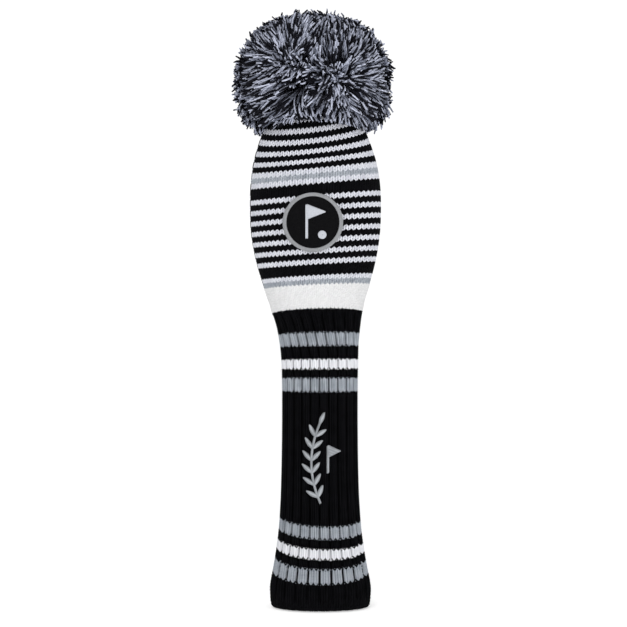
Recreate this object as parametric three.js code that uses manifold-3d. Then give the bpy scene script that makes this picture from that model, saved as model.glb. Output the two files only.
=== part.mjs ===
// Knitted driver head cover with a pom-pom.
// Millimetres, +Z up. The cover stands on its hem, its front faces -Y, and the origin is the middle of its base.

import * as THREE from "three";
import Module from "manifold-3d";
import { mergeVertices } from "three/addons/utils/BufferGeometryUtils.js";

const wasm = await Module();
wasm.setup();

// ---------------------------------------------------------------- driving dimensions

// The knitted cover's outer face: its elliptical section at each height.
// height, half width, half depth, sideways lean of the section's middle
const SECTIONS = [
  [0, 34.4, 26.6, 5.0],
  [3, 35.8, 27.8, 5.0],
  [9, 36.3, 28.2, 5.0],
  [17, 36.0, 28.0, 5.0],
  [29, 33.8, 26.6, 5.0],
  [47, 30.9, 24.9, 4.9],
  [64, 29.1, 23.8, 4.8],
  [90, 27.8, 23.0, 4.7],
  [140, 27.1, 22.5, 4.7],
  [180, 27.6, 23.0, 4.6],
  [200, 29.6, 24.6, 3.7],
  [219, 33.6, 27.4, 2.3],
  [236, 38.9, 30.8, 1.9],
  [253, 43.4, 33.7, 1.6],
  [271, 46.3, 35.5, 1.4],
  [288, 47.0, 36.0, 1.4],
  [305, 46.6, 36.0, 1.3],
  [322, 44.2, 34.8, 1.0],
  [340, 38.6, 31.4, 0.6],
  [349, 34.6, 28.8, 0.4],
  [357, 29.0, 25.0, 0.2],
  [363, 21.5, 19.2, 0.1],
  [366.6, 11.5, 11.0, 0],
  [368, 4.0, 4.0, 0],
];
const CROWN_TOP = 368;
const SIDES = 28;

// Layers of the wall, as depths under the outer face.
const KNIT = [0, 2.8];
const SEAM = [3.1, 3.9];
const ELASTIC = [4.2, 5.0];
const LINING = [5.3, 6.7];
const THREAD_RADIUS = 0.45;

// Where the pieces of the wall start and stop.
const CUFF_TOP = 30.2;
const NECK_BOTTOM = 31.7;
const NECK_TOP = 215.5;
const BELL_BOTTOM = 217.1;
const LINING_CROWN = 351;

// Round patch on the front of the bell.
const PATCH = { x: -0.4, z: 277.4, radius: 21.5, rimWidth: 3.0 };
const PATCH_LAYER = [0.4, 1.6];
const PATCH_TOP_LAYER = [1.9, 2.9];
const FLAG = { x: -4.2, bottom: -11.5, top: 12.5, poleWidth: 1.9, reach: 13, drop: 10.5 };
const BALL = { x: 6.4, z: -8.8, radius: 3.0 };

// Embroidered sprig and small flag on the front of the neck.
const SPRIG = { bottom: 77, top: 136, x: 5.2, bow: -6.6, stemWidth: 1.5, pairs: 6 };
const LEAF = { length: 9.2, halfWidth: 1.7, spread: 0.72 };
const NECK_FLAG = { x: 10.2, bottom: 99, top: 118.5, poleWidth: 1.5, reach: 8.6, drop: 8 };
const EMBROIDERY_LAYER = [0.4, 1.5];

// Pom-pom and its tie. The pivot is where the tie leaves the crown.
const PIVOT_Z = 369.5;
const TIE_RADIUS = 1.4;
const POM_DEPTH_RATIO = 0.95;
const POM_SIDES = 28;
// radius, height: up the outside from the fringe to the top, then the well and the hollow over the crown
const POM_OUTSIDE = [
  [50, 346.5],
  [54.2, 353],
  [57, 364],
  [58, 377],
  [56.5, 389],
  [52.5, 401],
  [45, 413],
  [34, 422.5],
  [19, 428.6],
];
const POM_TOP = 430;
const POM_WELL = { radius: 8.2, top: 391 };
const POM_HOLLOW = [
  [8.2, 373],
  [21, 371],
  [29, 368],
  [36, 362],
  [42.5, 354.5],
];

// ---------------------------------------------------------------- the cover's surface

// Section at any height: a cubic through the listed sections, with their own slopes.
function sectionAt(z) {
  const last = SECTIONS.length - 1;
  let k = 0;
  while (k < last - 1 && z > SECTIONS[k + 1][0]) k += 1;
  const [low, high] = [SECTIONS[k], SECTIONS[k + 1]];
  const span = high[0] - low[0];
  const t = THREE.MathUtils.clamp((z - low[0]) / span, 0, 1);
  const slope = (i, n) => {
    const [a, b] = [SECTIONS[Math.max(i - 1, 0)], SECTIONS[Math.min(i + 1, last)]];
    return (b[n] - a[n]) / (b[0] - a[0]);
  };
  const value = (n) => {
    const [h1, h2] = [2 * t ** 3 - 3 * t ** 2 + 1, t ** 3 - 2 * t ** 2 + t];
    const [h3, h4] = [-2 * t ** 3 + 3 * t ** 2, t ** 3 - t ** 2];
    return h1 * low[n] + h2 * span * slope(k, n) + h3 * high[n] + h4 * span * slope(k + 1, n);
  };
  return { z, halfWidth: value(1), halfDepth: value(2), lean: value(3) };
}

// The section at a depth under the outer face, measured square to that face.
function sectionUnder(z, depth) {
  const step = 0.5;
  const [above, below] = [sectionAt(Math.min(z + step, CROWN_TOP)), sectionAt(Math.max(z - step, 0))];
  const rise = new THREE.Vector2(above.halfWidth - below.halfWidth, above.z - below.z).normalize();
  const here = sectionAt(z);
  return {
    z: z + depth * rise.x,
    halfWidth: here.halfWidth - depth * rise.y,
    halfDepth: here.halfDepth - depth * rise.y,
    lean: here.lean,
  };
}

// Heights from low to high, with the listed sections between them.
function heights(low, high) {
  const between = SECTIONS.map((s) => s[0]).filter((z) => z > low + 1 && z < high - 1);
  return [low, ...between, high];
}

// y of the outer face at the front.
function frontFace(x, z) {
  const { halfWidth, halfDepth, lean } = sectionAt(z);
  return -halfDepth * Math.sqrt(Math.max(0, 1 - ((x - lean) / halfWidth) ** 2));
}

// ---------------------------------------------------------------- solids

function solidFrom(positions, index) {
  const geometry = new THREE.BufferGeometry();
  geometry.setAttribute("position", new THREE.Float32BufferAttribute(positions, 3));
  geometry.setIndex(index);
  geometry.computeVertexNormals();
  return geometry;
}

// Two triangles for each square of a grid of rows that closes on itself across, and along if asked.
function gridFaces(rows, columns, closedAlong, flip = false) {
  const index = [];
  for (let i = 0; i < rows - (closedAlong ? 0 : 1); i += 1) {
    for (let k = 0; k < columns; k += 1) {
      const [i2, k2] = [(i + 1) % rows, (k + 1) % columns];
      const square = [i * columns + k, i * columns + k2, i2 * columns + k2, i2 * columns + k];
      const [a, b, c, d] = flip ? square.reverse() : square;
      index.push(a, b, c, a, c, d);
    }
  }
  return index;
}

// A ring right round the cover. Its loop of sections runs up the outside and down the inside.
function ringSolid(loop) {
  const positions = [];
  for (const s of loop) {
    for (let k = 0; k < SIDES; k += 1) {
      const angle = (2 * Math.PI * k) / SIDES;
      positions.push(s.lean + s.halfWidth * Math.cos(angle), s.halfDepth * Math.sin(angle), s.z);
    }
  }
  return solidFrom(positions, gridFaces(loop.length, SIDES, true));
}

// A layer of the wall between two heights and two depths.
function wallLayer(low, high, [outer, inner]) {
  const levels = heights(low, high);
  const up = levels.map((z) => sectionUnder(z, outer));
  const down = levels.map((z) => sectionUnder(z, inner)).reverse();
  return ringSolid([...up, ...down]);
}

// A thread that runs round the cover inside the wall.
function threadRing(z, depth) {
  const corners = 4;
  const middle = sectionUnder(z, depth);
  const loop = [];
  for (let k = 0; k < corners; k += 1) {
    const angle = (2 * Math.PI * k) / corners;
    const outward = THREAD_RADIUS * Math.cos(angle);
    loop.push({
      z: middle.z + THREAD_RADIUS * Math.sin(angle),
      halfWidth: middle.halfWidth + outward,
      halfDepth: middle.halfDepth + outward,
      lean: middle.lean,
    });
  }
  return ringSolid(loop);
}

// A plate that lies on the front face: a grid of [x, z] points, between two heights above the face.
function frontPlate(grid, [low, high]) {
  const [rows, columns] = [grid.length, grid[0].length];
  const positions = [];
  for (const height of [low, high]) {
    for (const row of grid) {
      for (const [x, z] of row) positions.push(x, frontFace(x, z) - height, z);
    }
  }
  const index = [];
  const top = rows * columns;
  const square = (a, b, c, d) => index.push(a, b, c, a, c, d);
  for (let i = 0; i < rows - 1; i += 1) {
    for (let k = 0; k < columns - 1; k += 1) {
      const a = i * columns + k;
      square(top + a, top + a + 1, top + a + columns + 1, top + a + columns);
      square(a, a + columns, a + columns + 1, a + 1);
    }
  }
  const edge = [];
  for (let k = 0; k < columns - 1; k += 1) edge.push(k);
  for (let i = 0; i < rows - 1; i += 1) edge.push(i * columns + columns - 1);
  for (let k = columns - 1; k > 0; k -= 1) edge.push((rows - 1) * columns + k);
  for (let i = rows - 1; i > 0; i -= 1) edge.push(i * columns);
  edge.forEach((a, n) => {
    const b = edge[(n + 1) % edge.length];
    square(a, b, top + b, top + a);
  });
  return solidFrom(positions, index);
}

// A grid of [x, z] points over a disc.
function discGrid(x, z, radius, steps) {
  const grid = [];
  for (let i = 0; i <= steps; i += 1) {
    const v = (2 * i) / steps - 1;
    const row = [];
    for (let k = 0; k <= steps; k += 1) {
      const u = (2 * k) / steps - 1;
      row.push([x + radius * u * Math.sqrt(1 - v ** 2 / 2), z + radius * v * Math.sqrt(1 - u ** 2 / 2)]);
    }
    grid.push(row);
  }
  return grid;
}

// A grid of [x, z] points along a centre line, as wide at each step as asked.
function bandGrid(centre, halfWidth, steps) {
  const grid = [];
  for (let i = 0; i <= steps; i += 1) {
    const t = i / steps;
    const [here, ahead] = [centre(t), centre(t + 0.001)];
    const across = new THREE.Vector2(ahead.y - here.y, here.x - ahead.x).setLength(halfWidth(t));
    grid.push([-1, 0, 1].map((side) => [here.x + side * across.x, here.y + side * across.y]));
  }
  return grid;
}

// A ring that lies on the front face.
function frontRing(x, z, inner, outer, [low, high]) {
  const sectors = 32;
  const positions = [];
  for (const [radius, height] of [[outer, low], [outer, high], [inner, high], [inner, low]]) {
    for (let k = 0; k < sectors; k += 1) {
      const angle = (2 * Math.PI * k) / sectors;
      const [px, pz] = [x + radius * Math.cos(angle), z + radius * Math.sin(angle)];
      positions.push(px, frontFace(px, pz) - height, pz);
    }
  }
  return solidFrom(positions, gridFaces(4, sectors, true));
}

// A solid of revolution about the Z axis, from [radius, height] points.
function turned(points, segments) {
  const profile = points.map(([radius, height]) => new THREE.Vector2(radius, height));
  return new THREE.LatheGeometry(profile, segments).rotateX(Math.PI / 2);
}

// Solids that overlap become one.
function joined(solids) {
  const manifolds = solids.map((geometry) => {
    const bare = new THREE.BufferGeometry();
    bare.setAttribute("position", geometry.getAttribute("position"));
    bare.setIndex(geometry.getIndex());
    const merged = mergeVertices(bare);
    return new wasm.Manifold(new wasm.Mesh({
      numProp: 3,
      vertProperties: merged.getAttribute("position").array,
      triVerts: new Uint32Array(merged.getIndex().array),
    }));
  });
  const mesh = manifolds.reduce((sum, next) => sum.add(next)).getMesh();
  return solidFrom([...mesh.vertProperties], [...mesh.triVerts]);
}

// ---------------------------------------------------------------- materials

const colours = {
  black: 0x16161c,
  white: 0xe6e6ea,
  grey: 0x93979f,
  silver: 0xb4b8bd,
  lining: 0x1d1e22,
  elastic: 0xd8d6cf,
  felt: 0x2a2a2e,
};

const assembly = new THREE.Group();
const add = (name, geometry, colour, roughness = 0.9) => {
  const material = new THREE.MeshStandardMaterial({ color: colours[colour], roughness, metalness: 0 });
  const mesh = new THREE.Mesh(geometry, material);
  mesh.name = name;
  assembly.add(mesh);
};

// ---------------------------------------------------------------- knitted wall

// The bell closes at the crown round a small hole for the tie.
const bell = () => wallLayer(BELL_BOTTOM, CROWN_TOP, KNIT);

// The hem is folded up inside itself, and the elastic lies in the fold.
function hemCuff() {
  const fold = [2.6, 4.4];
  const inside = LINING[1];
  const floor = 5;
  const outside = heights(0, CUFF_TOP).map((z) => sectionUnder(z, 0));
  const slotOuter = heights(floor, CUFF_TOP).reverse().map((z) => sectionUnder(z, fold[0]));
  const slotInner = heights(floor, CUFF_TOP).map((z) => sectionUnder(z, fold[1]));
  const inner = heights(0, CUFF_TOP).reverse().map((z) => sectionUnder(z, inside));
  inner[inner.length - 1].z = 0;
  return ringSolid([...outside, ...slotOuter, ...slotInner, ...inner]);
}

// The linked side seam: a strip inside the knit along its left side.
function sideSeam(low, high) {
  const width = 0.16;
  const levels = heights(low, high);
  const positions = [];
  const corners = [[SEAM[0], width], [SEAM[0], -width], [SEAM[1], -width], [SEAM[1], width]];
  for (const z of levels) {
    for (const [depth, turn] of corners) {
      const s = sectionUnder(z, depth);
      const angle = Math.PI + turn;
      positions.push(s.lean + s.halfWidth * Math.cos(angle), s.halfDepth * Math.sin(angle), s.z);
    }
  }
  const index = gridFaces(levels.length, corners.length, false, true);
  const end = (levels.length - 1) * corners.length;
  index.push(0, 1, 2, 0, 2, 3, end, end + 2, end + 1, end, end + 3, end + 2);
  return solidFrom(positions, index);
}

// The bell's lining follows the knit and closes under the tie's knot.
function bellLining() {
  const levels = heights(BELL_BOTTOM + 0.4, 340);
  const crown = [[28, 346], [18, 349.6], [8, LINING_CROWN], [1.2, LINING_CROWN]];
  const thick = LINING[1] - LINING[0];
  const cap = (drop) => crown.map(([radius, z]) => {
    const narrower = radius > 2 ? drop / 2 : 0;
    return { z: z - drop, halfWidth: radius - narrower, halfDepth: radius * 0.9 - narrower, lean: 0.3 };
  });
  const up = levels.map((z) => sectionUnder(z, LINING[0]));
  const down = levels.map((z) => sectionUnder(z, LINING[1])).reverse();
  return ringSolid([...up, ...cap(0), ...cap(thick).reverse(), ...down]);
}

add("bell_knit", bell(), "black");
add("neck_knit", wallLayer(NECK_BOTTOM, NECK_TOP, KNIT), "black");
add("hem_cuff", hemCuff(), "black");
add("bell_side_seam", sideSeam(224, 340), "black");
add("neck_side_seam", sideSeam(36, 214), "black");
add("bell_lining", bellLining(), "lining");
add("neck_lining", wallLayer(NECK_BOTTOM + 0.6, NECK_TOP, LINING), "lining");

// ---------------------------------------------------------------- elastics and sewing threads

add("upper_neck_elastic", wallLayer(196, 203, ELASTIC), "elastic", 0.7);
add("lower_neck_elastic", wallLayer(62, 69, ELASTIC), "elastic", 0.7);
add("hem_elastic", wallLayer(12, 20, [3.0, 4.0]), "elastic", 0.7);
add("bell_linking_thread", threadRing((NECK_TOP + BELL_BOTTOM) / 2, 1.2), "black");
add("hem_linking_thread", threadRing((CUFF_TOP + NECK_BOTTOM) / 2, 1.2), "black");
add("lining_linking_thread", threadRing((NECK_TOP + BELL_BOTTOM) / 2, 6.0), "lining");
add("lining_hem_thread", threadRing((CUFF_TOP + NECK_BOTTOM) / 2, 6.0), "lining");

// ---------------------------------------------------------------- patch

const rimInner = PATCH.radius - PATCH.rimWidth;

function flagSolid({ x, bottom, top, poleWidth, reach, drop }, layer) {
  const pole = bandGrid((t) => new THREE.Vector2(x, bottom + t * (top - bottom)), () => poleWidth / 2, 6);
  const middle = top - drop / 2;
  const pennant = bandGrid(
    (t) => new THREE.Vector2(x + t * reach, middle),
    (t) => (drop / 2) * (1 - t) + 0.4,
    6,
  );
  return joined([frontPlate(pole, layer), frontPlate(pennant, layer)]);
}

const patchFlag = { ...FLAG, x: PATCH.x + FLAG.x, bottom: PATCH.z + FLAG.bottom, top: PATCH.z + FLAG.top };
add("patch_base", frontPlate(discGrid(PATCH.x, PATCH.z, PATCH.radius - 0.6, 8), PATCH_LAYER), "black", 0.75);
add("patch_rim", frontRing(PATCH.x, PATCH.z, rimInner, PATCH.radius, PATCH_TOP_LAYER), "grey", 0.6);
add("patch_edge_thread", frontRing(PATCH.x, PATCH.z, rimInner + 1.1, rimInner + 1.9, [3.2, 3.7]), "grey", 0.6);
add("patch_flag", flagSolid(patchFlag, PATCH_TOP_LAYER), "silver", 0.5);
add("patch_ball",
  frontPlate(discGrid(PATCH.x + BALL.x, PATCH.z + BALL.z, BALL.radius, 4), PATCH_TOP_LAYER), "silver", 0.5);

// ---------------------------------------------------------------- embroidery on the neck

// The sprig's stem is a shallow arc; its leaves stand off it in pairs, with one at the tip.
const sprigLine = (t) => new THREE.Vector2(
  SPRIG.x + SPRIG.bow * 4 * t * (1 - t),
  SPRIG.bottom + t * (SPRIG.top - SPRIG.bottom),
);

function leafAt(root, direction) {
  const along = new THREE.Vector2(Math.sin(direction), Math.cos(direction)).multiplyScalar(LEAF.length);
  const width = (t) => LEAF.halfWidth * Math.sin(Math.PI * (0.1 + 0.84 * t)) ** 0.8;
  return frontPlate(bandGrid((t) => root.clone().addScaledVector(along, t), width, 4), EMBROIDERY_LAYER);
}

function sprig() {
  const pieces = [frontPlate(bandGrid(sprigLine, () => SPRIG.stemWidth / 2, 10), EMBROIDERY_LAYER)];
  const heading = (t) => {
    const [a, b] = [sprigLine(t), sprigLine(t + 0.01)];
    return Math.atan2(b.x - a.x, b.y - a.y);
  };
  for (let n = 0; n < SPRIG.pairs; n += 1) {
    const t = 0.08 + (0.88 * n) / SPRIG.pairs;
    for (const side of [-1, 1]) pieces.push(leafAt(sprigLine(t), heading(t) + side * LEAF.spread));
  }
  pieces.push(leafAt(sprigLine(0.96), heading(0.96)));
  return joined(pieces);
}

add("neck_sprig", sprig(), "silver", 0.5);
add("neck_flag", flagSolid(NECK_FLAG, EMBROIDERY_LAYER), "silver", 0.5);

// A stiff backing lies behind the embroidery, between the knit and the lining.
function embroideryBacking() {
  const [left, right] = [-8, 18];
  const grid = [];
  for (let z = 74; z <= 146; z += 12) {
    const row = [];
    for (let k = 0; k <= 8; k += 1) row.push([left + ((right - left) * k) / 8, z]);
    grid.push(row);
  }
  return frontPlate(grid, [-4.4, -3.6]);
}
add("embroidery_backing", embroideryBacking(), "felt");

// ---------------------------------------------------------------- crown and tie

add("crown_gather_cord", new THREE.TorusGeometry(6.4, 0.8, 6, 18).translate(0, 0, 363), "black");
add("crown_anchor_disc", turned([[2.2, 359.8], [9.6, 359.8], [10.2, 360.4], [10.2, 361.3],
  [9.6, 361.9], [2.2, 361.9], [2.2, 359.8]], 20), "felt");
add("tie_knot", turned([[0, 352.3], [2.8, 352.8], [4.4, 354.6], [4.5, 356.6], [3.2, 358.9],
  [TIE_RADIUS, 359.5], [TIE_RADIUS, 366.9], [0, 366.9]], 12), "black");

// The stem and the loop meet on a sphere about the pivot, so they clear each other as they tilt.
add("tie_stem", turned([[0, 367.3], [TIE_RADIUS, 367.6], [1.5, PIVOT_Z + 2.2], [1.1, PIVOT_Z + 3.4],
  [0, PIVOT_Z + 3.6]], 12), "black");
add("tie_loop",
  new THREE.TorusGeometry(3.2, 1.1, 6, 16).rotateX(Math.PI / 2).translate(0, 0, PIVOT_Z + 8.4), "black");
add("pom_binding", new THREE.TorusGeometry(4.4, 1.6, 6, 16).translate(0, 0, PIVOT_Z + 14.8), "black");

function pompom() {
  const well = [[0, POM_WELL.top], [POM_WELL.radius, POM_WELL.top - 1]];
  const outline = [...well, ...POM_HOLLOW, ...POM_OUTSIDE, [0, POM_TOP]];
  return turned(outline, POM_SIDES).scale(1, POM_DEPTH_RATIO, 1);
}
add("pompom_yarn", pompom(), "grey", 1);

export default assembly;
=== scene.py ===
"""Knitted driver head cover with a pom-pom: every course of yarn and every strand is a mesh.

Lengths are millimetres in the frame's axes, and MM turns them into metres where a mesh is made. The front
faces -Y. A place on the knit is given by three numbers: an angle round the cover (0 is +X, the front is -90
degrees), a run up the wall from the hem, and a distance out from its face.
"""

import math

import bpy
import numpy as np
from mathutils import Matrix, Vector

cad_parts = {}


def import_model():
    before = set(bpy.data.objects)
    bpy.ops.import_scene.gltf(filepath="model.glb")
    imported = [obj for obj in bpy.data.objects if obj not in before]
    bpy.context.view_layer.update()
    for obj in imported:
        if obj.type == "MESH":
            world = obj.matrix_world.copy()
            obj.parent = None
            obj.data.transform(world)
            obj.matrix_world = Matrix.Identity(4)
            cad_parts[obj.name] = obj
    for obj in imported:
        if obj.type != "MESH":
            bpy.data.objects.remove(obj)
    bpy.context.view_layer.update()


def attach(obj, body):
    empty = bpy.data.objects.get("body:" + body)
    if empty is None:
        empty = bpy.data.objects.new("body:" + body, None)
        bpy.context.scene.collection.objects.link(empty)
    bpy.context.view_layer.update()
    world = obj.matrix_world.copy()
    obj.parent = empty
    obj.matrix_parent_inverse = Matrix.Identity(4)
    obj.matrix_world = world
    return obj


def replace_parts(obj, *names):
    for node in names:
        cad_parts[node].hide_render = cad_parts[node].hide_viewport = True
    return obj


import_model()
MM = 0.001

# -------------------- the cover's form

# height, half width, half depth, sideways lean: the sections of the CAD cover
SECTIONS = np.array([
    (0, 34.4, 26.6, 5.0), (3, 35.8, 27.8, 5.0), (9, 36.3, 28.2, 5.0), (17, 36.0, 28.0, 5.0),
    (29, 33.8, 26.6, 5.0), (47, 30.9, 24.9, 4.9), (64, 29.1, 23.8, 4.8), (90, 27.8, 23.0, 4.7),
    (140, 27.1, 22.5, 4.7), (180, 27.6, 23.0, 4.6), (200, 29.6, 24.6, 3.7), (219, 33.6, 27.4, 2.3),
    (236, 38.9, 30.8, 1.9), (253, 43.4, 33.7, 1.6), (271, 46.3, 35.5, 1.4), (288, 47.0, 36.0, 1.4),
    (305, 46.6, 36.0, 1.3), (322, 44.2, 34.8, 1.0), (340, 38.6, 31.4, 0.6), (349, 34.6, 28.8, 0.4),
    (357, 29.0, 25.0, 0.2), (363, 21.5, 19.2, 0.1), (366.6, 11.5, 11.0, 0.0), (368, 4.0, 4.0, 0.0),
])
BELL_START = 216.8
SEAM_ANGLE = math.radians(188)
WALES = 66
RIB_WALES = 3

# By height: how far a course rises to the right, and how far its front hangs below its sides.
RISE = (
    (0, 0), (20, -0.3), (45, -1.4), (62, -1.2), (160, 0), (202, 0.6), (219, 0.9), (243, 2.5),
    (254, 2.8), (308, 4.0), (330, 5.0), (345, 4.9), (360, 2.0), (368, 0),
)
SAG = (
    (0, 0), (3, 0.2), (9, 3.5), (20, 6.5), (31, 6.0), (45, 4.3), (62, 3.9), (100, 1.2), (160, -0.4),
    (190, -1.0), (205, -1.8), (217, -3.4), (230, -1.8), (243, 0), (254, 0.4), (285, 0.9), (308, 2.0),
    (319, 3.9), (326, 5.9), (337, 8.4), (345, 8.0), (358, 3.0), (368, 0),
)
SAG_ROUNDING = 0.02
# How far the stripes are out of step at the seam, and the heights where that grows and where it ends.
SEAM_MISMATCH = 3.85
MISMATCH_GROWS = (BELL_START, BELL_START + 20)
MISMATCH_ENDS = (368, 345)

# How far the wales drift round the cover: up the neck's top, at the bell's start, and up the bell.
NECK_DRIFT = math.radians(-8)
BELL_STEP = math.radians(6)
BELL_DRIFT = math.radians(4)

# Wales to a radian at the sides for one at the front, the share fewer at the right front, and the oval that
# their widths are measured on (half depth over half width).
SIDE_WALES = 0.55
RIGHT_SPREAD = 0.13
RIGHT_FRONT = math.radians(-45)
WALE_OVAL = 0.8


def hermite(rows, count):
    """A fine table from the listed sections: the same cubic as the CAD's."""
    z = rows[:, 0]
    slope = np.empty_like(rows)
    slope[1:-1] = (rows[2:] - rows[:-2]) / (z[2:] - z[:-2])[:, None]
    slope[0] = (rows[1] - rows[0]) / (z[1] - z[0])
    slope[-1] = (rows[-1] - rows[-2]) / (z[-1] - z[-2])
    at = np.linspace(z[0], z[-1], count)
    k = np.clip(np.searchsorted(z, at, side="right") - 1, 0, len(z) - 2)
    span = (z[k + 1] - z[k])[:, None]
    t = ((at - z[k]) / span[:, 0])[:, None]
    return (
        (2 * t**3 - 3 * t**2 + 1) * rows[k]
        + (t**3 - 2 * t**2 + t) * span * slope[k]
        + (3 * t**2 - 2 * t**3) * rows[k + 1]
        + (t**3 - t**2) * span * slope[k + 1]
    )


FORM = hermite(SECTIONS, 3000)
MEAN_RADIUS = (FORM[:, 1] + FORM[:, 2]) / 2
RUN = np.concatenate([[0], np.cumsum(np.hypot(np.diff(MEAN_RADIUS), np.diff(FORM[:, 0])))])
SLOPE = np.stack([np.gradient(MEAN_RADIUS, RUN), np.gradient(FORM[:, 0], RUN)], 1)
SLOPE /= np.linalg.norm(SLOPE, axis=1)[:, None]


def run_at(z):
    return np.interp(z, FORM[:, 0], RUN)


def height_at(run):
    return np.interp(run, RUN, FORM[:, 0])


def form_at(run):
    """Height, half width, half depth and lean at a run up the wall."""
    return [np.interp(run, RUN, FORM[:, n]) for n in range(4)]


def slope_at(run):
    """How fast the wall widens, and how fast it climbs, at a run up it."""
    return [np.interp(run, RUN, SLOPE[:, n]) for n in range(2)]


def oval(wide, deep, lean, z, angle):
    """Points on level ovals."""
    return np.stack([lean + wide * np.cos(angle), deep * np.sin(angle), z + 0 * angle], -1)


def skin(angle, run, out):
    """Points and outward directions at a distance out from the cover's face."""
    z, wide, deep, lean = form_at(run)
    widen, climb = slope_at(run)
    flat = np.stack([np.cos(angle) / wide, np.sin(angle) / deep], -1)
    flat /= np.linalg.norm(flat, axis=-1)[..., None]
    normal = np.concatenate([flat * climb[..., None], -widen[..., None]], -1)
    return oval(wide, deep, lean, z, angle) + normal * out[..., None], normal


def on_front(x, z, out):
    """Points and outward directions on the front, at x and z, a distance out from the face."""
    _, wide, _, lean = form_at(run_at(z))
    angle = -np.arccos(np.clip((x - lean) / wide, -1, 1))
    return skin(angle, run_at(z), out)


def under(z, depth):
    """A level of the wall at a depth below its face: height, half width, half depth, lean."""
    run = run_at(z)
    _, wide, deep, lean = form_at(run)
    widen, climb = slope_at(run)
    return z + depth * widen, wide - depth * climb, deep - depth * climb, lean


def unit(v):
    return v / (np.linalg.norm(v, axis=-1)[..., None] + 1e-9)


def smooth(start, end, x):
    """0 at the start to 1 at the end, which may be the lower of the two."""
    t = np.clip((x - start) / (end - start), 0, 1)
    return t * t * (3 - 2 * t)


def wale_table():
    """Turns from the seam, the share of the wales that each has passed, and the wales' widths there."""
    turn = np.linspace(0, 2 * math.pi, 2881)
    angle = turn + SEAM_ANGLE
    wales = np.hypot(np.sin(angle), SIDE_WALES * np.cos(angle))
    wales /= 1 + RIGHT_SPREAD * np.cos(angle - RIGHT_FRONT)
    width = np.hypot(np.sin(angle), WALE_OVAL * np.cos(angle)) / wales
    share = np.concatenate([[0], np.cumsum((wales[1:] + wales[:-1]) / 2)])
    return turn, share / share[-1], width


TURNS, SHARES, WALE_WIDTHS = wale_table()


def angle_at(share, z):
    """share 0 is the seam, and it grows through the front to the right and round the back."""
    drift = NECK_DRIFT * smooth(178, 216, z) + BELL_STEP * (z > BELL_START - 2)
    drift = drift + BELL_DRIFT * smooth(262, 322, z)
    return SEAM_ANGLE + np.interp(share, SHARES, TURNS) + drift


def course_run(run, angle, share):
    """The run up the wall of a course whose front is at a given run."""
    z = height_at(run)
    rise = np.interp(z, *zip(*RISE)) * np.cos(angle)
    side = 1 - np.sqrt(np.sin(angle) ** 2 + SAG_ROUNDING) / math.sqrt(1 + SAG_ROUNDING)
    sag = np.interp(z, *zip(*SAG)) * side
    mismatch = SEAM_MISMATCH * smooth(0.5, 1.0, share) * smooth(*MISMATCH_GROWS, z)
    return run + rise + sag + mismatch * smooth(*MISMATCH_ENDS, z)


# -------------------- mesh tools


def mesh_object(name, points, faces, corner_uv=None, flat=False):
    """An object from points in millimetres and a list of face arrays, each with one size of face."""
    mesh = bpy.data.meshes.new(name)
    mesh.vertices.add(len(points))
    mesh.vertices.foreach_set("co", (np.asarray(points, np.float32) * MM).ravel())
    corners = np.concatenate([f.ravel() for f in faces]).astype(np.int32)
    sizes = np.concatenate([np.full(len(f), f.shape[1]) for f in faces])
    mesh.loops.add(len(corners))
    mesh.loops.foreach_set("vertex_index", corners)
    mesh.polygons.add(len(sizes))
    starts = np.concatenate([[0], np.cumsum(sizes)[:-1]]).astype(np.int32)
    mesh.polygons.foreach_set("loop_start", starts)
    if corner_uv is not None:
        layer = mesh.uv_layers.new(name="yarn")
        layer.data.foreach_set("uv", np.asarray(corner_uv, np.float32).ravel())
    mesh.update(calc_edges=True)
    if not flat:
        mesh.shade_smooth()
    piece = bpy.data.objects.new(name, mesh)
    bpy.context.scene.collection.objects.link(piece)
    return piece


def ring_quads(a, b):
    """Faces between rings of corner numbers, a ring being along the last axis."""
    return np.stack([a, np.roll(a, -1, -1), np.roll(b, -1, -1), b], -1).reshape(-1, 4)


def tubes(name, path, normal, radius, sides, twist):
    """An object of closed tubes along many paths at once, path being (tubes, points, 3).

    The UVs run along each tube at twist to a millimetre, and once round it.
    """
    path = np.asarray(path, float)
    radius = np.broadcast_to(radius, path.shape[:2])
    tangent = unit(np.gradient(path, axis=1))
    across = unit(np.cross(tangent, np.broadcast_to(normal, path.shape)))
    up = np.cross(across, tangent)
    turn = (2 * math.pi * np.arange(sides) / sides)[:, None]
    ring = across[:, :, None] * np.cos(turn) + up[:, :, None] * np.sin(turn)
    verts = path[:, :, None] + ring * radius[:, :, None, None]
    n = np.arange(verts.size // 3).reshape(verts.shape[:3])
    quads = ring_quads(n[:, :-1], n[:, 1:])
    caps = np.concatenate([n[:, 0, ::-1], n[:, -1]])

    steps = np.cumsum(np.linalg.norm(np.diff(path, axis=1), axis=2), 1)
    length = np.concatenate([np.zeros((len(path), 1)), steps], 1)
    along = np.broadcast_to((length * twist)[:, :, None], n.shape)
    u0, u1 = along[:, :-1], along[:, 1:]
    v0 = np.broadcast_to(np.arange(sides) / sides, u0.shape)
    v1 = v0 + 1 / sides
    quad_uv = np.stack([u0, v0, u0, v1, u1, v1, u1, v0], -1).reshape(-1, 2)
    uv = np.concatenate([quad_uv, np.zeros((caps.size, 2))])
    return mesh_object(name, verts.reshape(-1, 3), [quads, caps], uv)


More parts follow.
